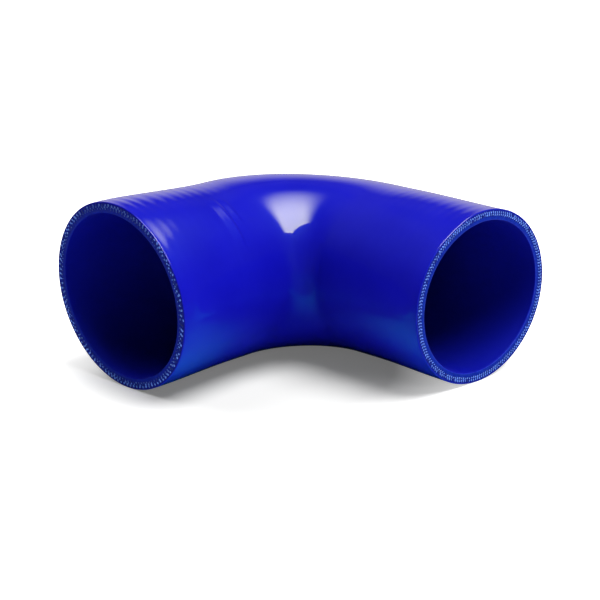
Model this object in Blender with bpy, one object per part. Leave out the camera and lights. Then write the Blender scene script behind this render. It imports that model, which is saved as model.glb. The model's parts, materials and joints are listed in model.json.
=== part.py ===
"""Silicone elbow hose: a 90 degree reducing elbow laid up from fabric-backed silicone rubber.

Metres, +Z up. The hose lies on its side, with its underside on Z = 0. Its two legs point
towards -Y and away from each other: the larger mouth is at -X and the smaller one at +X.
The origin is the middle of the footprint.

The wall is lofted as one closed band of rings: out along the outside from the larger mouth,
across the smaller mouth's cut face, back through the bore, and across the other cut face.
"""

import math

import bpy
import bmesh
from mathutils import Vector

# Bore, at the two mouths and where each leg runs into the bend, and the wall round it
BORE_LARGE = 0.0689
BORE_BEND_START = 0.0650
BORE_BEND_END = 0.0622
BORE_SMALL = 0.0635
WALL = 0.0046

# Course of the centreline: each leg is measured from its cut face to the corner where the
# two leg axes cross, and the throat is the outside of the hose on the inner side of the bend
LEG_LARGE = 0.1024
LEG_SMALL = 0.1024
BEND_ANGLE = math.radians(90)
THROAT_RADIUS = 0.0093

# The soft mouths are a little oval: how far the radius swells and shrinks, which way the long
# axis leans (from the throat side, upwards), and how far along the leg the oval fades out
OVAL_LARGE = 0.0013
OVAL_LARGE_LEAN = math.radians(-25)
OVAL_SMALL = 0.0015
OVAL_SMALL_LEAN = math.radians(-19)
OVAL_REACH = 0.045

# Marks of the curing tape round the legs, which fade out towards the bend
TAPE_PITCH = 0.0055
TAPE_RELIEF = 0.00015
TAPE_FADE = 0.018

# Rounding of the cut edges
CUT_EDGE = 0.0004

# Fineness of the loft
SIDES = 56
BEND_RINGS_OUTSIDE = 24
BEND_RINGS_BORE = 18
LEG_RINGS_BORE = 5

SILICONE_BLUE = (0.010, 0.010, 0.52, 1.0)

BEND_RADIUS = THROAT_RADIUS + WALL + max(BORE_BEND_START, BORE_BEND_END) / 2
TANGENT_LENGTH = BEND_RADIUS * math.tan(BEND_ANGLE / 2)
BEND_START = LEG_LARGE - TANGENT_LENGTH
BEND_END = BEND_START + BEND_RADIUS * BEND_ANGLE
COURSE_END = BEND_END + LEG_SMALL - TANGENT_LENGTH


def clear_scene():
    for old in list(bpy.data.objects):
        bpy.data.objects.remove(old, do_unlink=True)


def smooth(share):
    """Ease from 0 to 1 with no kink at either end."""
    share = min(max(share, 0.0), 1.0)
    return share * share * (3 - 2 * share)


def blend(distance, start, end, first, last):
    """The value at a distance along the course, eased from first at start to last at end."""
    return first + (last - first) * smooth((distance - start) / (end - start))


def bore_radius(distance):
    """Inside radius at a distance from the larger mouth."""
    if distance < BEND_START:
        return blend(distance, 0, BEND_START, BORE_LARGE, BORE_BEND_START) / 2
    if distance < BEND_END:
        return blend(distance, BEND_START, BEND_END, BORE_BEND_START, BORE_BEND_END) / 2
    return blend(distance, BEND_END, COURSE_END, BORE_BEND_END, BORE_SMALL) / 2


def oval_swell(distance, angle):
    """What the oval of the nearer mouth adds to the radius in one direction."""
    large = OVAL_LARGE * smooth(1 - distance / OVAL_REACH)
    small = OVAL_SMALL * smooth(1 - (COURSE_END - distance) / OVAL_REACH)
    return (large * math.cos(2 * (angle - OVAL_LARGE_LEAN))
            + small * math.cos(2 * (angle - OVAL_SMALL_LEAN)))


def tape_depth(distance):
    """Depth of a tape mark: full along the legs, nothing in the bend."""
    from_bend = max(BEND_START - distance, distance - BEND_END)
    return TAPE_RELIEF * smooth(from_bend / TAPE_FADE)


def centre_and_heading(distance):
    """The centreline's point, seen from above, and the direction that it runs in there."""
    half = BEND_ANGLE / 2
    large_leg = Vector((-math.sin(half), -math.cos(half), 0))
    small_leg = Vector((math.sin(half), -math.cos(half), 0))
    if distance < BEND_START:
        return large_leg * (LEG_LARGE - distance), -large_leg
    if distance > BEND_END:
        return small_leg * (TANGENT_LENGTH + distance - BEND_END), small_leg
    turned = (distance - BEND_START) / BEND_RADIUS - (math.pi - BEND_ANGLE) / 2
    pivot = Vector((0, -BEND_RADIUS / math.sin(half), 0))
    outward = Vector((math.sin(turned), math.cos(turned), 0))
    return pivot + outward * BEND_RADIUS, Vector((math.cos(turned), -math.sin(turned), 0))


def section(distance, offset):
    """One ring of points, square to the course, at an offset out from the bore's surface.

    The centre is as high as the hose reaches straight down from it, so the underside lies
    on the ground all along the hose.
    """
    centre, heading = centre_and_heading(distance)
    up = Vector((0, 0, 1))
    to_throat = heading.cross(up)
    radius = bore_radius(distance)
    straight_down = -math.pi / 2
    centre.z = radius + oval_swell(distance, straight_down) + WALL
    ring = []
    for side in range(SIDES):
        angle = 2 * math.pi * side / SIDES
        reach = radius + offset + oval_swell(distance, angle)
        ring.append(centre + (to_throat * math.cos(angle) + up * math.sin(angle)) * reach)
    return ring


def even_steps(start, end, count):
    """The ends of count equal steps, without the start."""
    return [start + (end - start) * step / count for step in range(1, count + 1)]


def outside_rings():
    """Rings of the outer surface, from the larger mouth to the smaller one.

    Along the legs every second ring lies in a tape mark, so each mark is one shallow groove.
    """
    large_marks = round(BEND_START / TAPE_PITCH)
    small_marks = round((COURSE_END - BEND_END) / TAPE_PITCH)
    rings = [section(0, WALL - CUT_EDGE), section(CUT_EDGE, WALL)]
    for number, distance in enumerate(even_steps(0, BEND_START, 2 * large_marks)):
        depth = tape_depth(distance) * (1 - number % 2)
        rings.append(section(distance, WALL - depth))
    for distance in even_steps(BEND_START, BEND_END, BEND_RINGS_OUTSIDE):
        rings.append(section(distance, WALL))
    for number, distance in enumerate(even_steps(BEND_END, COURSE_END, 2 * small_marks)[:-1]):
        depth = tape_depth(distance) * (1 - number % 2)
        rings.append(section(distance, WALL - depth))
    rings.append(section(COURSE_END - CUT_EDGE, WALL))
    rings.append(section(COURSE_END, WALL - CUT_EDGE))
    return rings


def bore_rings():
    """Rings of the plain bore, from the smaller mouth back to the larger one."""
    stops = [0, CUT_EDGE]
    stops += even_steps(0, BEND_START, LEG_RINGS_BORE)
    stops += even_steps(BEND_START, BEND_END, BEND_RINGS_BORE)
    stops += even_steps(BEND_END, COURSE_END, LEG_RINGS_BORE)[:-1]
    stops += [COURSE_END - CUT_EDGE, COURSE_END]
    return [section(distance, CUT_EDGE if distance in (0, COURSE_END) else 0)
            for distance in reversed(stops)]


def add_band(mesh, ring, following):
    """A band of four-sided faces from one ring of corners to the following one."""
    for side in range(SIDES):
        mesh.faces.new((ring[side - 1], ring[side], following[side], following[side - 1]))


def stand_on_origin(mesh):
    """Move the mesh so that the middle of its footprint is the origin."""
    low = [min(corner.co[axis] for corner in mesh.verts) for axis in range(3)]
    high = [max(corner.co[axis] for corner in mesh.verts) for axis in range(3)]
    shift = Vector((-(low[0] + high[0]) / 2, -(low[1] + high[1]) / 2, -low[2]))
    bmesh.ops.translate(mesh, verts=mesh.verts, vec=shift)


def silicone_rubber():
    """Glossy cured silicone in royal blue."""
    material = bpy.data.materials.new("silicone_rubber")
    material.use_nodes = True
    shader = material.node_tree.nodes["Principled BSDF"]
    shader.inputs["Base Color"].default_value = SILICONE_BLUE
    shader.inputs["Roughness"].default_value = 0.25
    shader.inputs["Metallic"].default_value = 0.0
    return material


def elbow_hose():
    """Join the rings of the outside and the bore into one closed wall."""
    mesh = bmesh.new()
    rings = [[mesh.verts.new(point) for point in ring] for ring in outside_rings() + bore_rings()]
    for ring, following in zip(rings, rings[1:] + rings[:1]):
        add_band(mesh, ring, following)
    bmesh.ops.recalc_face_normals(mesh, faces=mesh.faces)
    stand_on_origin(mesh)
    data = bpy.data.meshes.new("elbow_hose")
    mesh.to_mesh(data)
    mesh.free()
    data.shade_smooth()
    data.set_sharp_from_angle(angle=math.radians(35))
    data.materials.append(silicone_rubber())
    hose = bpy.data.objects.new("elbow_hose", data)
    bpy.context.scene.collection.objects.link(hose)
    return hose


clear_scene()
elbow_hose()
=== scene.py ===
"""Looks of the silicone elbow hose: the moulded wall, its two cut faces and the studio."""

import json
import math
import random

import bmesh
import bpy
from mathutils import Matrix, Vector, noise


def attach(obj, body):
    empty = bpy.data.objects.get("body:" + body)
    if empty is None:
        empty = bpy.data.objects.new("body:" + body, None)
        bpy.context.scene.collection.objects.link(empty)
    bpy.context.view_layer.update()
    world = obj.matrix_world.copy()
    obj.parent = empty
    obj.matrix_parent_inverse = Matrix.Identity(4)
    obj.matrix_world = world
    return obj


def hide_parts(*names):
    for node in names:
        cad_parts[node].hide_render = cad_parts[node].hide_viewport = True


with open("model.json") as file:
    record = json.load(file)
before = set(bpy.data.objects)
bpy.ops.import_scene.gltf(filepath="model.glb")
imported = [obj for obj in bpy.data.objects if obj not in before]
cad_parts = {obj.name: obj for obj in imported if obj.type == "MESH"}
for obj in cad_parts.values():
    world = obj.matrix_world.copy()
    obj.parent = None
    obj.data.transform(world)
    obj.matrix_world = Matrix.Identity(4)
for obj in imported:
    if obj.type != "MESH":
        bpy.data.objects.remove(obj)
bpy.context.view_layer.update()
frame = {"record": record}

# Hose wall: the real piece is one elbow, laid up by hand from silicone-coated fabric on a bent
# former, wrapped tightly in curing tape, baked, pulled off and cut square at both ends. The tape
# leaves shallow ridges round the legs, and the skin comes out glossy.
BORE_LARGE = 0.0689
BORE_BEND_START = 0.0650
BORE_BEND_END = 0.0622
BORE_SMALL = 0.0635
WALL = 0.0046
LEG = 0.1024
BEND_ANGLE = math.radians(90)
BEND_RADIUS = 0.0464
OVAL_LARGE = 0.0013
OVAL_LARGE_LEAN = math.radians(-25)
OVAL_SMALL = 0.0015
OVAL_SMALL_LEAN = math.radians(-19)
OVAL_REACH = 0.045
CUT_EDGE = 0.0004
STRAIGHT_DOWN = -math.pi / 2
UP = Vector((0, 0, 1))

mounts = {mount["name"]: mount for mount in frame["record"]["mounts"]}
large_way = Vector(mounts["large_mouth_face"]["axis"])
small_way = Vector(mounts["small_mouth_face"]["axis"])
large_mouth = Vector(mounts["large_mouth_face"]["pos_m"])
small_mouth = Vector(mounts["small_mouth_face"]["pos_m"])
large_mouth.z = small_mouth.z = 0
corner = (large_mouth - large_way * LEG + small_mouth - small_way * LEG) / 2
STRAIGHT_LEG = LEG - BEND_RADIUS * math.tan(BEND_ANGLE / 2)
BEND_END = STRAIGHT_LEG + BEND_RADIUS * BEND_ANGLE
COURSE_END = BEND_END + STRAIGHT_LEG
pivot = corner + Vector((0, -BEND_RADIUS / math.sin(BEND_ANGLE / 2), 0))


def eased(share):
    """Ease from 0 to 1 with no kink at either end."""
    share = min(max(share, 0.0), 1.0)
    return share * share * (3 - 2 * share)


def between(distance, start, end, first, last):
    """The value at a distance along the course, eased from first to last."""
    return first + (last - first) * eased((distance - start) / (end - start))


def bore_radius(distance):
    """Inside radius at a distance from the large mouth."""
    if distance < STRAIGHT_LEG:
        return between(distance, 0, STRAIGHT_LEG, BORE_LARGE, BORE_BEND_START) / 2
    if distance < BEND_END:
        return between(distance, STRAIGHT_LEG, BEND_END, BORE_BEND_START, BORE_BEND_END) / 2
    return between(distance, BEND_END, COURSE_END, BORE_BEND_END, BORE_SMALL) / 2


def oval_swell(distance, angle):
    """What the oval of the nearer mouth adds to the radius in one direction."""
    large = OVAL_LARGE * eased(1 - distance / OVAL_REACH)
    small = OVAL_SMALL * eased(1 - (COURSE_END - distance) / OVAL_REACH)
    return (large * math.cos(2 * (angle - OVAL_LARGE_LEAN))
            + small * math.cos(2 * (angle - OVAL_SMALL_LEAN)))


def centreline(distance):
    """The middle of the hose at a distance from the large mouth, and the way it runs there."""
    if distance < STRAIGHT_LEG:
        spot, heading = corner + large_way * (LEG - distance), -large_way
    elif distance > BEND_END:
        spot, heading = corner + small_way * (LEG - COURSE_END + distance), small_way.copy()
    else:
        turned = (distance - STRAIGHT_LEG) / BEND_RADIUS - BEND_ANGLE / 2
        spot = pivot + Vector((math.sin(turned), math.cos(turned), 0)) * BEND_RADIUS
        heading = Vector((math.cos(turned), -math.sin(turned), 0))
    spot.z = bore_radius(distance) + oval_swell(distance, STRAIGHT_DOWN) + WALL
    return spot, heading


def course_distance(spot):
    """How far along the course a point lies, from its place seen from above."""
    side = spot - pivot
    turned = math.atan2(side.x, side.y)
    if turned < -BEND_ANGLE / 2:
        return LEG - (spot - corner).dot(large_way)
    if turned > BEND_ANGLE / 2:
        return COURSE_END - LEG + (spot - corner).dot(small_way)
    return STRAIGHT_LEG + (turned + BEND_ANGLE / 2) * BEND_RADIUS


def from_nearer_mouth(distance):
    """How far in from the nearer cut face."""
    return min(distance, COURSE_END - distance)


def place_in_noise(distance, angle, along, round_it, start=0):
    """A place in the noise, which closes on itself once round the hose."""
    return Vector((distance * along + start, math.cos(angle) * round_it, math.sin(angle) * round_it))


# Turns of tape, in metres. The strengths go turn by turn from each mouth inwards. The weight of
# the hose has smoothed the underside, and the ridges stand out most along the very top.
TAPE_PITCH = 0.0047
TAPE_START = 0.0028
TAPE_RELIEF = 0.000034
TAPE_FADE = 0.016
TAPE_WANDER = 0.25
TAPE_WANDER_NOISE = (90, 1.5)
TURN_STRENGTHS_LARGE = (0.8, 0.9, 0.8, 0.7, 0.7, 0.6, 0.5, 0.6, 0.6, 0.5, 0.4)
TURN_STRENGTHS_SMALL = (0.6, 0.5, 0.4, 0.4, 0.3)
TURN_MEAN = 0.8
TURN_UNEVENNESS = 0.5
TURN_NOISE = (60, 2, 5)
UNDERSIDE_STRENGTH = 0.12
UNDERSIDE_TO_SIDE = (-0.1, 0.4)
TOP_STRENGTH = 4.5
SIDE_TO_TOP = (0.93, 0.98)


def tape_ridge(distance, angle):
    """Height of the skin above its mean, from the turns of tape. None shows in the bend."""
    from_mouth = from_nearer_mouth(distance)
    strengths = TURN_STRENGTHS_LARGE if distance < COURSE_END / 2 else TURN_STRENGTHS_SMALL
    turn = (from_mouth - TAPE_START) / TAPE_PITCH
    place = min(max(turn, 0), len(strengths) - 1.001)
    number = int(place)
    tightness = between(place, number, number + 1, strengths[number], strengths[number + 1])
    wander = TAPE_WANDER * noise.noise(place_in_noise(distance, angle, *TAPE_WANDER_NOISE))
    unevenness = noise.noise(place_in_noise(distance, angle, *TURN_NOISE))
    tightness *= TURN_MEAN + TURN_UNEVENNESS * unevenness
    upper = between(math.sin(angle), *UNDERSIDE_TO_SIDE, UNDERSIDE_STRENGTH, 1)
    upper *= between(math.sin(angle), *SIDE_TO_TOP, 1, TOP_STRENGTH)
    fade = eased((STRAIGHT_LEG - from_mouth) / TAPE_FADE)
    wave = math.sin(2 * math.pi * (turn + wander))
    return TAPE_RELIEF / 2 * fade * tightness * upper * wave


# The fall of the skin to each cut: how far in it starts, how steep it ends, and where round the
# hose it starts, is full, is still full and ends, in degrees up from the throat.
LIP_LARGE = (0.017, 0.056, 10, 30, 58, 74)
LIP_SMALL = (0.012, 0.070, 48, 58, 66, 80)
LIP_CURVE = 1.8
EDGE_SWELL = 0.00007
EDGE_SWELL_REACH = 0.0017


def lip(distance, angle):
    """How far the skin falls away to the nearer cut, on the upper side to the throat.

    Right at the cut it swells again, where the knife squeezed it.
    """
    from_mouth = from_nearer_mouth(distance)
    kind = LIP_LARGE if distance < COURSE_END / 2 else LIP_SMALL
    reach, slope, low, low_full, high_full, high = kind
    left = max(1 - from_mouth / reach, 0)
    lean = math.degrees(angle)
    share = eased((lean - low) / (low_full - low)) * eased((high - lean) / (high - high_full))
    swell = EDGE_SWELL * max(1 - from_mouth / EDGE_SWELL_REACH, 0) ** 2
    return share * (swell - slope * reach / LIP_CURVE * left ** LIP_CURVE)


# Each wrinkle starts, peaks and ends at a distance from the large mouth, and has a height. Round
# the hose it starts, is full, is still full and ends, in degrees up from the throat.
WRINKLES = ((0.0355, 0.0398, 0.0408, 0.00038, 26, 40, 60, 74),
            (0.0412, 0.0442, 0.0452, 0.00026, 44, 52, 62, 74))


def wrinkle(distance, angle):
    """Two short wrinkles that the tape left across the large leg: a slow rise and a sharp fall."""
    lean = math.degrees(angle)
    height = 0
    for start, top, end, rise, low, low_full, high_full, high in WRINKLES:
        here = min((distance - start) / (top - start), (end - distance) / (end - top), 1)
        reach = min((lean - low) / (low_full - low), (high - lean) / (high - high_full), 1)
        height += rise * max(here, 0) * eased(reach)
    return height


LIE_HEIGHT = 0.00022
LIE_FINENESS = 22
LIE_ROUND_IT = 0.9
LIE_START = 0.006


def lie(distance, angle):
    """Slow unevenness of the hand lay-up, which fades out at the cuts."""
    spot, _ = centreline(distance)
    here = spot * LIE_FINENESS + Vector((math.cos(angle), math.sin(angle), 0)) * LIE_ROUND_IT
    return LIE_HEIGHT * noise.noise(here) * eased(from_nearer_mouth(distance) / LIE_START)


def skin_point(distance, angle, depth):
    """A point of the wall, at a depth below the outer skin. Angle 0 faces the throat."""
    spot, heading = centreline(distance)
    reach = bore_radius(distance) + WALL + oval_swell(distance, angle) - depth
    if depth < WALL / 2:
        reach += tape_ridge(distance, angle) + lie(distance, angle)
        reach += lip(distance, angle) + wrinkle(distance, angle)
    across = heading.cross(UP)
    return spot + (across * math.cos(angle) + UP * math.sin(angle)) * reach


# A round pipe is drawn along the course first: a circle, extruded down one leg, spun round the
# bend and extruded down the other leg. Solidify gives it its wall, the cut faces get rings, and
# then every point is moved to its place on the real form.
WALL_SIDES = 160
LEG_STEPS = 92
BEND_STEPS = 52
CUT_RINGS = 5
TOUCHING = 0.0001
SHARP_EDGE = math.radians(60)
ROUNDED_STEPS = 3
SMOOTH_BELOW = math.radians(40)
pipe_radius = bore_radius(0) + WALL
bpy.ops.object.select_all(action="DESELECT")
start, heading = centreline(0)
start.z = pipe_radius
bpy.ops.mesh.primitive_circle_add(
    vertices=WALL_SIDES, radius=pipe_radius, location=start,
    rotation=(math.pi / 2, 0, math.atan2(heading.y, heading.x) + math.pi / 2))
hose = bpy.context.object
hose.name = "elbow_hose_wall"
bpy.ops.object.transform_apply(location=True, rotation=True, scale=True)
bpy.ops.object.mode_set(mode="EDIT")
bpy.ops.mesh.select_all(action="SELECT")
for step in range(LEG_STEPS):
    bpy.ops.mesh.extrude_edges_move(
        TRANSFORM_OT_translate={"value": -large_way * (STRAIGHT_LEG / LEG_STEPS)})
bpy.ops.mesh.spin(steps=BEND_STEPS, angle=BEND_ANGLE, center=pivot, axis=UP)
for step in range(LEG_STEPS):
    bpy.ops.mesh.extrude_edges_move(
        TRANSFORM_OT_translate={"value": small_way * (STRAIGHT_LEG / LEG_STEPS)})
bpy.ops.object.mode_set(mode="OBJECT")
first = hose.data.polygons[0]
if first.normal.dot(first.center - start) < 0:
    hose.data.flip_normals()
wall = hose.modifiers.new("wall", "SOLIDIFY")
wall.thickness = WALL
wall.offset = -1
bpy.ops.object.modifier_apply(modifier=wall.name)


def at_a_mouth(spot):
    """True on the plane of either cut face."""
    return from_nearer_mouth(course_distance(spot)) < TOUCHING


bpy.ops.object.mode_set(mode="EDIT")
bpy.ops.mesh.select_mode(type="EDGE")
bpy.ops.mesh.select_all(action="DESELECT")
shell = bmesh.from_edit_mesh(hose.data)
for edge in shell.edges:
    crosses_wall = abs(edge.calc_length() - WALL) < TOUCHING
    edge.select_set(crosses_wall and all(at_a_mouth(end.co) for end in edge.verts))
bpy.ops.mesh.subdivide(number_cuts=CUT_RINGS)
bpy.ops.object.mode_set(mode="OBJECT")

places = []
for vertex in hose.data.vertices:
    distance = course_distance(vertex.co)
    spot, heading = centreline(distance)
    away = vertex.co - Vector((spot.x, spot.y, pipe_radius))
    angle = math.atan2(away.z, away.dot(heading.cross(UP)))
    depth = pipe_radius - away.length
    vertex.co = skin_point(distance, angle, depth)
    places.append((distance, angle, depth))

# The chart runs round the hose one way. The other way it runs along the hose in metres, and on
# the cut faces across the wall, from 0 at the skin to 1 at the bore.
SKIN, BORE, SMALL_CUT, LARGE_CUT = range(4)
for old_chart in list(hose.data.uv_layers):
    hose.data.uv_layers.remove(old_chart)
chart = hose.data.uv_layers.new(name="chart")
for face in hose.data.polygons:
    corners = [places[number] for number in face.vertices]
    depths = [depth for _, _, depth in corners]
    on_cut = max(depths) - min(depths) > TOUCHING
    cut = LARGE_CUT if corners[0][0] < COURSE_END / 2 else SMALL_CUT
    face.material_index = cut if on_cut else BORE if corners[0][2] > WALL / 2 else SKIN
    for loop, (distance, angle, depth) in zip(face.loop_indices, corners):
        turn = angle / (2 * math.pi)
        turn -= round(turn - corners[0][1] / (2 * math.pi))
        chart.data[loop].uv = (turn, depth / WALL if on_cut else distance)

bpy.ops.object.mode_set(mode="EDIT")
bpy.ops.mesh.select_all(action="DESELECT")
shell = bmesh.from_edit_mesh(hose.data)
for edge in shell.edges:
    edge.select_set(edge.calc_face_angle(0) > SHARP_EDGE)
bpy.ops.mesh.bevel(offset=CUT_EDGE, segments=ROUNDED_STEPS)
bpy.ops.mesh.select_all(action="SELECT")
bpy.ops.object.mode_set(mode="OBJECT")
bpy.ops.object.shade_smooth_by_angle(angle=SMOOTH_BELOW)


def new_finish(name):
    """A material with its shader, its nodes and its links."""
    finish = bpy.data.materials.new(name)
    finish.use_nodes = True
    tree = finish.node_tree
    return finish, tree.nodes["Principled BSDF"], tree.nodes, tree.links


def speckle(nodes, links, source, scale, detail=2.0):
    """A noise pattern of a given fineness, on the object's own coordinates."""
    pattern = nodes.new("ShaderNodeTexNoise")
    pattern.inputs["Scale"].default_value = scale
    pattern.inputs["Detail"].default_value = detail
    links.new(source, pattern.inputs["Vector"])
    return pattern.outputs["Fac"]


def ranged(nodes, links, source, low, high, first=0.3, last=0.7):
    """A pattern stretched to run from one value to another."""
    stretch = nodes.new("ShaderNodeMapRange")
    stretch.inputs["From Min"].default_value = first
    stretch.inputs["From Max"].default_value = last
    stretch.inputs["To Min"].default_value = low
    stretch.inputs["To Max"].default_value = high
    links.new(source, stretch.inputs["Value"])
    return stretch.outputs["Result"]


def two_tone(nodes, links, source, dark, light):
    """A colour that goes from one tone to another with a pattern. A tone may be a node's."""
    tones = nodes.new("ShaderNodeMix")
    tones.data_type = "RGBA"
    links.new(source, tones.inputs["Factor"])
    for tone, socket in ((dark, tones.inputs["A"]), (light, tones.inputs["B"])):
        if isinstance(tone, tuple):
            socket.default_value = (*tone, 1)
        else:
            links.new(tone, socket)
    return tones.outputs["Result"]


def raised(nodes, links, source, strength, height):
    """A bump of a given height in metres."""
    bump = nodes.new("ShaderNodeBump")
    bump.inputs["Strength"].default_value = strength
    bump.inputs["Distance"].default_value = height
    links.new(source, bump.inputs["Height"])
    return bump.outputs["Normal"]


THROWN_BLUE = (0.04, 0.04, 0.06)
# Each pattern has a fineness and a detail.
CLOUDS = (30, 4)
PATCHES = (70, 3)
PEEL = (180, 2)
PEEL_STRENGTH = 0.1
PEEL_HEIGHT = 0.00004
UNDER_GLOSS_LEVEL = 0.12
UNDER_GLOSS_TINT = (0.25, 0.55, 1)
CLEAR_GLOSS_ROUGHNESS = 0.05
CLEAR_GLOSS_INDEX = 1.45


def unlit_by_itself(nodes, links, colour):
    """The colour, but nearly none of it thrown onto the sheet and the bore by soft bounces."""
    seen = nodes.new("ShaderNodeLightPath")
    return two_tone(nodes, links, seen.outputs["Is Diffuse Ray"], colour, THROWN_BLUE)


def glossy_silicone(name, dark, light, roughness, coat):
    """Cured silicone skin: deep blue, faintly uneven, with a clear gloss over it."""
    finish, shader, nodes, links = new_finish(name)
    own = nodes.new("ShaderNodeTexCoord").outputs["Object"]
    clouds = ranged(nodes, links, speckle(nodes, links, own, *CLOUDS), 0, 1)
    blue = unlit_by_itself(nodes, links, two_tone(nodes, links, clouds, dark, light))
    links.new(blue, shader.inputs["Base Color"])
    patches = speckle(nodes, links, own, *PATCHES)
    links.new(ranged(nodes, links, patches, *roughness), shader.inputs["Roughness"])
    peel = speckle(nodes, links, own, *PEEL)
    links.new(raised(nodes, links, peel, PEEL_STRENGTH, PEEL_HEIGHT), shader.inputs["Normal"])
    shader.inputs["Specular IOR Level"].default_value = UNDER_GLOSS_LEVEL
    shader.inputs["Specular Tint"].default_value = (*UNDER_GLOSS_TINT, 1)
    shader.inputs["Coat Weight"].default_value = coat
    shader.inputs["Coat Roughness"].default_value = CLEAR_GLOSS_ROUGHNESS
    shader.inputs["Coat IOR"].default_value = CLEAR_GLOSS_INDEX
    return finish


skin_finish = glossy_silicone(
    "glossy_blue_silicone", dark=(0.0045, 0.0045, 0.45), light=(0.0065, 0.0065, 0.53),
    roughness=(0.30, 0.42), coat=1.0)
# The bore's darker blue is partly the liner's own tone and partly painted shade inside the hose.
bore_finish = glossy_silicone(
    "bore_blue_silicone", dark=(0.003, 0.005, 0.34), light=(0.005, 0.008, 0.42),
    roughness=(0.45, 0.60), coat=0.0)


CUT_GRAIN = (900, 3)
CUT_GRAIN_STRENGTH = 0.5
CUT_GRAIN_HEIGHT = 0.0001
CUT_ROUGHNESS = 0.55
CUT_GLOSS_LEVEL = 0.1
CUT_WORN_DARK = (0.7, 0.7, 0.8)
CUT_WORN_LIGHT = (1.3, 1.3, 1.1)


def cut_silicone(name, stops):
    """The knife-cut wall: skin, fabric plies and liner from the outside in, and any painted edge
    highlights.
    """
    finish, shader, nodes, links = new_finish(name)
    own = nodes.new("ShaderNodeTexCoord")
    parts = nodes.new("ShaderNodeSeparateXYZ")
    links.new(own.outputs["UV"], parts.inputs["Vector"])
    layers = nodes.new("ShaderNodeValToRGB")
    links.new(parts.outputs["Y"], layers.inputs["Fac"])
    ramp = layers.color_ramp.elements
    ramp[0].position, ramp[1].position = stops[0][0], stops[-1][0]
    ramp[0].color, ramp[1].color = (*stops[0][1], 1), (*stops[-1][1], 1)
    for place, tone in stops[1:-1]:
        ramp.new(place).color = (*tone, 1)
    grain = speckle(nodes, links, own.outputs["Object"], *CUT_GRAIN)
    worn = nodes.new("ShaderNodeMix")
    worn.data_type = "RGBA"
    worn.blend_type = "MULTIPLY"
    worn.inputs["Factor"].default_value = 1
    links.new(layers.outputs["Color"], worn.inputs["A"])
    links.new(two_tone(nodes, links, ranged(nodes, links, grain, 0, 1),
                       CUT_WORN_DARK, CUT_WORN_LIGHT), worn.inputs["B"])
    links.new(worn.outputs["Result"], shader.inputs["Base Color"])
    shader.inputs["Roughness"].default_value = CUT_ROUGHNESS
    shader.inputs["Specular IOR Level"].default_value = CUT_GLOSS_LEVEL
    links.new(raised(nodes, links, grain, CUT_GRAIN_STRENGTH, CUT_GRAIN_HEIGHT),
              shader.inputs["Normal"])
    return finish


# Each stop is a place across the wall and the colour of the layer that is cut there. On the small
# cut the pale first and last stops are painted highlights along the outer and inner edges.
small_cut_finish = cut_silicone("small_cut_silicone", (
    (0.00, (0.015, 0.050, 0.60)), (0.06, (0.002, 0.008, 0.34)), (0.18, (0.001, 0.007, 0.30)),
    (0.22, (0.001, 0.012, 0.27)), (0.62, (0.001, 0.012, 0.27)), (0.68, (0.001, 0.021, 0.38)),
    (0.90, (0.001, 0.022, 0.40)), (1.00, (0.030, 0.055, 0.65))))
large_cut_finish = cut_silicone("large_cut_silicone", (
    (0.00, (0.004, 0.010, 0.40)), (0.08, (0.001, 0.004, 0.30)), (0.18, (0.001, 0.004, 0.28)),
    (0.24, (0.001, 0.012, 0.30)), (0.66, (0.001, 0.012, 0.30)), (0.74, (0.001, 0.012, 0.34)),
    (1.00, (0.001, 0.013, 0.36))))
for finish in (skin_finish, bore_finish, small_cut_finish, large_cut_finish):
    hose.data.materials.append(finish)
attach(hose, "root")
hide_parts("elbow_hose")

# Yarn ends: the wall is built from plies of knitted polyester fabric. Where the knife has cut
# them, the ends of their yarns stand in rows round both cut faces, paler than the rubber and a
# little proud of it, slanted one way in one row and the other way in the next.
YARN_SEGMENTS = 8
YARN_RINGS = 5
YARN_STRANDS = (2600, 2)
YARN_STRAND_STRENGTH = 0.6
YARN_STRAND_HEIGHT = 0.00006
YARN_ROUGHNESS = 0.5
YARN_PROUD = 0.00016
PROUD_SPREAD = (0.5, 1.2)
LENGTH_SPREAD = (0.7, 1.2)
WIDTH_SPREAD = (0.75, 1.15)
LEAN_SPREAD = (-0.2, 0.2)
JOG_SPREAD = (-0.00012, 0.00012)
PALENESS_SPREAD = (-0.35, 0.35)
SIDE_TO_DIM_TOP = (0.6, 0.95)
hand = random.Random(11)


def polyester(name, dark, light):
    """Cut polyester yarn, soaked in blue silicone to a varying degree."""
    finish, shader, nodes, links = new_finish(name)
    soaked = nodes.new("ShaderNodeAttribute")
    soaked.attribute_name = "paleness"
    links.new(two_tone(nodes, links, soaked.outputs["Fac"], dark, light),
              shader.inputs["Base Color"])
    own = nodes.new("ShaderNodeTexCoord").outputs["Object"]
    strands = speckle(nodes, links, own, *YARN_STRANDS)
    links.new(raised(nodes, links, strands, YARN_STRAND_STRENGTH, YARN_STRAND_HEIGHT),
              shader.inputs["Normal"])
    shader.inputs["Roughness"].default_value = YARN_ROUGHNESS
    return finish


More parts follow.
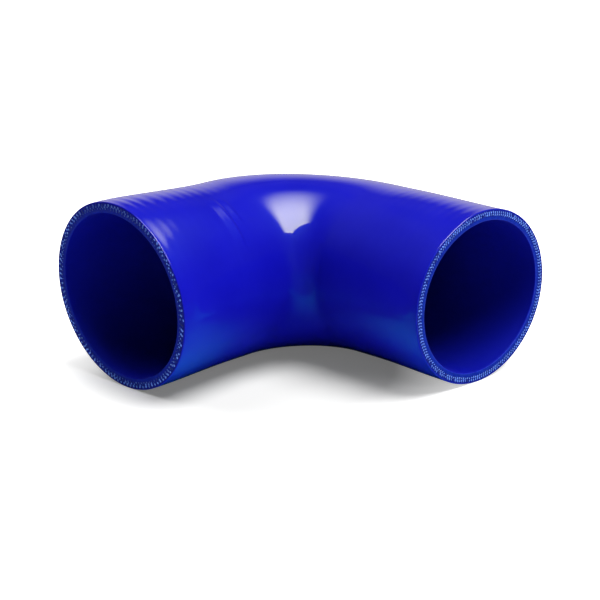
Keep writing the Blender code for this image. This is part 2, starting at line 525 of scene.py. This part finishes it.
def yarn_ends(name, mouth_distance, way, rows, buried, dim_on_top, finish):
    """Rows of yarn ends on one cut face. A share of them is buried in the rubber.

    A row has a depth, a count, a slant, the length and width of its ends, and a paleness. They
    are drawn round first, and then each is slanted, stretched and seated on the cut.
    """
    middle, heading = centreline(mouth_distance)
    across = heading.cross(UP)
    mean_reach = bore_radius(mouth_distance) + WALL
    bpy.ops.object.select_all(action="DESELECT")
    bpy.ops.mesh.primitive_uv_sphere_add(
        segments=YARN_SEGMENTS, ring_count=YARN_RINGS, radius=0.5, location=(0, 0, 0))
    ends = bpy.context.object
    ends.name = name
    bpy.ops.object.mode_set(mode="EDIT")
    bpy.ops.mesh.select_all(action="SELECT")
    bpy.ops.mesh.delete(type="VERT")
    for depth, count, _, _, width, _ in rows:
        bpy.ops.mesh.primitive_uv_sphere_add(
            segments=YARN_SEGMENTS, ring_count=YARN_RINGS, radius=0.5,
            location=middle + across * (mean_reach - depth),
            scale=(width, width, width))
        bpy.ops.mesh.spin(steps=count - 1, angle=2 * math.pi * (count - 1) / count,
                          center=middle, axis=way, dupli=True)
    bpy.ops.object.mode_set(mode="OBJECT")
    corners_each = YARN_SEGMENTS * (YARN_RINGS - 1) + 2
    paleness = ends.data.attributes.new("paleness", "FLOAT", "POINT")
    number = 0
    for depth, count, slant, row_length, row_width, pale in rows:
        for _ in range(count):
            corners = ends.data.vertices[number:number + corners_each]
            spot = sum((corner.co for corner in corners), Vector()) / corners_each
            away = spot - middle
            angle = math.atan2(away.z, away.dot(across))
            outward = across * math.cos(angle) + UP * math.sin(angle)
            aside = way.cross(outward)
            lean = slant + hand.uniform(*LEAN_SPREAD)
            long_way = outward * math.cos(lean) + aside * math.sin(lean)
            short_way = way.cross(long_way)
            length = row_length * hand.uniform(*LENGTH_SPREAD)
            width = row_width * hand.uniform(*WIDTH_SPREAD)
            proud = YARN_PROUD * hand.uniform(*PROUD_SPREAD)
            reach = mean_reach - depth + hand.uniform(*JOG_SPREAD)
            seat = middle + outward * (reach + oval_swell(mouth_distance, angle))
            shade = min(max(pale + hand.uniform(*PALENESS_SPREAD), 0), 1)
            shade *= 1 - dim_on_top * between(math.sin(angle), *SIDE_TO_DIM_TOP, 0, 1)
            if hand.random() < buried:
                shade = 0
            for corner in corners:
                own = (corner.co - spot) / row_width
                corner.co = (seat + long_way * own.dot(outward) * length
                             + short_way * own.dot(aside) * width + way * own.dot(way) * 2 * proud)
                paleness.data[corner.index].value = shade
            number += corners_each
    bpy.ops.object.shade_smooth()
    ends.data.materials.append(finish)
    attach(ends, "root")


yarn_finish = polyester("polyester_yarn", dark=(0.002, 0.014, 0.22), light=(0.14, 0.31, 1.0))
yarn_ends("small_mouth_yarn_ends", COURSE_END, small_way,
          ((0.0014, 176, 0.55, 0.00120, 0.00060, 0.95),
           (0.0024, 172, -0.55, 0.00115, 0.00058, 0.90)),
          buried=0.06, dim_on_top=0, finish=yarn_finish)
yarn_ends("large_mouth_yarn_ends", 0, large_way,
          ((0.0013, 116, 0.5, 0.00105, 0.00100, 1.10),
           (0.0021, 122, -0.6, 0.00095, 0.00080, 0.85),
           (0.0029, 130, 0.5, 0.00070, 0.00060, 0.45)),
          buried=0.20, dim_on_top=0.6, finish=yarn_finish)

# White sheet: the hose lies on plain white paper, which keeps its real shadow close round it. A
# glow seen only by the camera paints the paper plain white further off, and lifts and trims that
# shadow: painted light. In the gloss alone the paper is painted greenish blue on the undersides
# of the legs, a painted reflection, with painted shade close under the hose, and paler behind it.
SHEET_SIZE = 12
SHEET_WHITE = (0.86, 0.86, 0.86)
SHEET_ROUGHNESS = 0.9
SHEET_SHADE_CENTRE = (-0.016, -0.015, 0)
SHEET_SHADE_RADIUS = 0.054
SHEET_WHITE_RADIUS = 0.112
SHEET_SHADE_LIFT = 0.13
SHEET_GLOSS_NEAR = (0.0, 0.40, 0.85)
SHEET_GLOSS_BEHIND = (0.42, 0.38, 0.55)
SHEET_GLOSS_DIM = 0.12
SHEET_PALE_BEHIND = (0.05, 0.30)
SHEET_PAINTED_SHADE_UNDER = (-0.044, -0.016)
SHEET_DIM_BEFORE = (-0.072, -0.050)
bpy.ops.object.select_all(action="DESELECT")
bpy.ops.mesh.primitive_plane_add(size=SHEET_SIZE, location=(0, 0, 0))
floor = bpy.context.object
floor.name = "floor"


def combined(nodes, links, operation, first, second):
    """Two values made into one. Each is a plain number or comes from another node."""
    result = nodes.new("ShaderNodeMath")
    result.operation = operation
    for value, socket in zip((first, second), result.inputs):
        if isinstance(value, (int, float)):
            socket.default_value = value
        else:
            links.new(value, socket)
    return result.outputs["Value"]


def paper():
    """White paper, with painted tones and shade for the gloss and a painted lift to white for the
    camera.
    """
    finish, shader, nodes, links = new_finish("white_paper")
    seen = nodes.new("ShaderNodeLightPath")
    own = nodes.new("ShaderNodeTexCoord").outputs["Object"]
    parts = nodes.new("ShaderNodeSeparateXYZ")
    links.new(own, parts.inputs["Vector"])
    # Painted reflection and shade: in the gloss alone the paper is greenish blue near the hose and
    # paler behind it, darkened close under the hose and dimmer further in front.
    behind = ranged(nodes, links, parts.outputs["Y"], 0, 1, *SHEET_PALE_BEHIND)
    under = ranged(nodes, links, parts.outputs["Y"], 1, SHEET_GLOSS_DIM, *SHEET_PAINTED_SHADE_UNDER)
    before = ranged(nodes, links, parts.outputs["Y"], SHEET_GLOSS_DIM, 1, *SHEET_DIM_BEFORE)
    painted_gloss_shade = combined(nodes, links, "MULTIPLY", under, before)
    near = two_tone(nodes, links, painted_gloss_shade, (0, 0, 0), SHEET_GLOSS_NEAR)
    in_gloss = two_tone(nodes, links, behind, near, SHEET_GLOSS_BEHIND)
    colour = two_tone(nodes, links, seen.outputs["Is Glossy Ray"], SHEET_WHITE, in_gloss)
    links.new(colour, shader.inputs["Base Color"])
    shader.inputs["Roughness"].default_value = SHEET_ROUGHNESS
    shader.inputs["Specular IOR Level"].default_value = 0
    # Painted light: a glow seen only by the camera, low in the shadow round the hose and full
    # further off, lifts that shadow a little and whitens its outer reach.
    reach = nodes.new("ShaderNodeVectorMath")
    reach.operation = "DISTANCE"
    reach.inputs[1].default_value = SHEET_SHADE_CENTRE
    links.new(own, reach.inputs[0])
    lift = ranged(nodes, links, reach.outputs["Value"], SHEET_SHADE_LIFT, 1,
                  SHEET_SHADE_RADIUS, SHEET_WHITE_RADIUS)
    shader.inputs["Emission Color"].default_value = (1, 1, 1, 1)
    links.new(combined(nodes, links, "MULTIPLY", lift, seen.outputs["Is Camera Ray"]),
              shader.inputs["Emission Strength"])
    return finish


floor.data.materials.append(paper())

# Soft box: one large soft light hangs over the hose. It shows in the gloss alone, as the pale
# patch on the bend and the streak beside the larger mouth. Its border cuts the patch to shape,
# and its light fades towards the far sides.
SOFT_BOX_HEIGHT = 1.2
SOFT_BOX_GLOW = 14
SOFT_BOX_TINT = (1, 0.96, 0.5)
SOFT_BOX_BORDER = (
    (-0.45, 1.15), (-0.44, -0.12), (-0.36, -0.32), (-0.22, -0.46), (0.04, -0.56), (0.20, -0.61),
    (0.40, -0.67), (0.56, -0.70), (0.70, -0.77), (0.80, -0.74), (0.96, -0.64), (1.20, -0.45),
    (1.38, -0.22), (1.30, 0.10), (0.90, 0.55), (0.50, 1.15))
SOFT_BOX_FADES = (((1, 0, 0), 0.10, -0.24),
                  ((0.845, 0.535, 0), 0.57, 0.83),
                  ((-0.28, 0.96, 0), -0.28, 0.76))
FIRST_BOUNCE = 1.5


def faded(nodes, links, source, direction, full, none):
    """How strong a glow is along one direction: 1 at one end, easing to 0 at the other."""
    reach = nodes.new("ShaderNodeVectorMath")
    reach.operation = "DOT_PRODUCT"
    reach.inputs[1].default_value = direction
    links.new(source, reach.inputs[0])
    fade = nodes.new("ShaderNodeMapRange")
    fade.interpolation_type = "SMOOTHSTEP"
    fade.inputs["From Min"].default_value = none
    fade.inputs["From Max"].default_value = full
    links.new(reach.outputs["Value"], fade.inputs["Value"])
    return fade.outputs["Result"]


def glows_in_gloss(piece, tint, strength, fades, bounces):
    """A glow that only the gloss shows, up to a number of bounces, fading to its borders."""
    finish, shader, nodes, links = new_finish(piece.name)
    own = nodes.new("ShaderNodeTexCoord").outputs["Object"]
    level = strength
    for direction, full, none in fades:
        fade = faded(nodes, links, own, direction, full, none)
        level = combined(nodes, links, "MULTIPLY", level, fade)
    depth = nodes.new("ShaderNodeLightPath").outputs["Ray Depth"]
    shown = combined(nodes, links, "LESS_THAN", depth, bounces)
    shader.inputs["Base Color"].default_value = (0, 0, 0, 1)
    shader.inputs["Specular IOR Level"].default_value = 0
    shader.inputs["Emission Color"].default_value = (*tint, 1)
    links.new(combined(nodes, links, "MULTIPLY", level, shown), shader.inputs["Emission Strength"])
    piece.data.materials.append(finish)
    piece.visible_camera = False
    piece.visible_diffuse = False
    piece.visible_shadow = False


bpy.ops.object.select_all(action="DESELECT")
bpy.ops.mesh.primitive_circle_add(
    vertices=len(SOFT_BOX_BORDER), radius=1, fill_type="NGON", location=(0, 0, 0))
soft_box = bpy.context.object
soft_box.name = "soft_box_front"
for vertex, (x, y) in zip(soft_box.data.vertices, SOFT_BOX_BORDER):
    vertex.co = (x, y, SOFT_BOX_HEIGHT)
glows_in_gloss(soft_box, SOFT_BOX_TINT, SOFT_BOX_GLOW, SOFT_BOX_FADES, FIRST_BOUNCE)

# Back card: a low pale card stands far behind the hose. The gloss shows it as the band along the
# top of the bend and of both legs, full up to a height and fading out above it.
BACK_CARD_DISTANCE = 1.6
BACK_CARD_WIDTH = 5
BACK_CARD_HEIGHT = 1.15
BACK_CARD_FULL = 0.40
BACK_CARD_GLOW = 0.6
BACK_CARD_TINT = (1, 0.93, 1)
ANY_BOUNCE = 99
bpy.ops.object.select_all(action="DESELECT")
bpy.ops.mesh.primitive_plane_add(
    size=1, location=(0, BACK_CARD_DISTANCE, BACK_CARD_HEIGHT / 2), rotation=(math.pi / 2, 0, 0))
back_card = bpy.context.object
back_card.name = "back_card"
bpy.ops.object.mode_set(mode="EDIT")
bpy.ops.mesh.select_all(action="SELECT")
bpy.ops.transform.resize(value=(BACK_CARD_WIDTH, 1, BACK_CARD_HEIGHT))
bpy.ops.object.mode_set(mode="OBJECT")
bpy.ops.object.transform_apply(location=True, rotation=True, scale=True)
glows_in_gloss(back_card, BACK_CARD_TINT, BACK_CARD_GLOW,
               (((0, 0, 1), BACK_CARD_FULL, BACK_CARD_HEIGHT),), ANY_BOUNCE)

# Lamps: four round soft lights colour the hose and throw its shadow. Each is turned to the hose,
# and none shows in the gloss. The room round them is white to the camera and otherwise dark.
ROOM_LIGHT = 0.02
ROOM_LIGHT_IN_GLOSS = 0.04


def soft_light(name, place, width, watts):
    """A round soft light, turned to the hose, that doesn't show in the gloss."""
    bpy.ops.object.light_add(type="AREA", location=place)
    lamp = bpy.context.object
    lamp.name = name
    lamp.data.shape = "DISK"
    lamp.data.size = width
    lamp.data.energy = watts
    lamp.rotation_euler = (-Vector(place)).to_track_quat("-Z", "Y").to_euler()
    lamp.visible_glossy = False


soft_light("overhead_light", (0.56, -0.14, 1.49), 1.2, 27)
soft_light("back_light", (-0.86, 0.77, 1.11), 1.8, 16)
soft_light("right_light", (1.17, -1.05, 0.28), 1.0, 6.5)
soft_light("front_light", (-0.14, -1.57, 0.25), 1.0, 1.4)

world = bpy.data.worlds.new("studio")
bpy.context.scene.world = world
world.use_nodes = True
nodes, links = world.node_tree.nodes, world.node_tree.links
surround = nodes["Background"]
surround.inputs["Color"].default_value = (1, 1, 1, 1)
seen = nodes.new("ShaderNodeLightPath")
in_gloss = ranged(nodes, links, seen.outputs["Is Glossy Ray"],
                  ROOM_LIGHT, ROOM_LIGHT_IN_GLOSS, 0, 1)
links.new(combined(nodes, links, "ADD", in_gloss, seen.outputs["Is Camera Ray"]),
          surround.inputs["Strength"])

# Camera: it stands in front of the hose and a little above it, with both mouths in view. Its
# place, roll and lens were fitted to the rims and the outline in the photograph's frame.
CAMERA_AIM = Vector((-0.00028, 0, 0.02565))
CAMERA_DISTANCE = 0.9146
CAMERA_AZIMUTH = math.radians(1.948)
CAMERA_HEIGHT = math.radians(17.32)
CAMERA_ROLL = math.radians(-1.645)
CAMERA_SENSOR = 36
CAMERA_LENS = 132.2
back = Vector((math.sin(CAMERA_AZIMUTH) * math.cos(CAMERA_HEIGHT),
               -math.cos(CAMERA_AZIMUTH) * math.cos(CAMERA_HEIGHT), math.sin(CAMERA_HEIGHT)))
bpy.ops.object.camera_add(location=CAMERA_AIM + back * CAMERA_DISTANCE)
camera = bpy.context.object
camera.rotation_euler = (-back).to_track_quat("-Z", "Y").to_euler()
camera.rotation_euler.rotate_axis("Z", CAMERA_ROLL)
camera.data.sensor_width = CAMERA_SENSOR
camera.data.lens = CAMERA_LENS
bpy.context.scene.camera = camera
bpy.context.scene.view_settings.view_transform = "Standard"
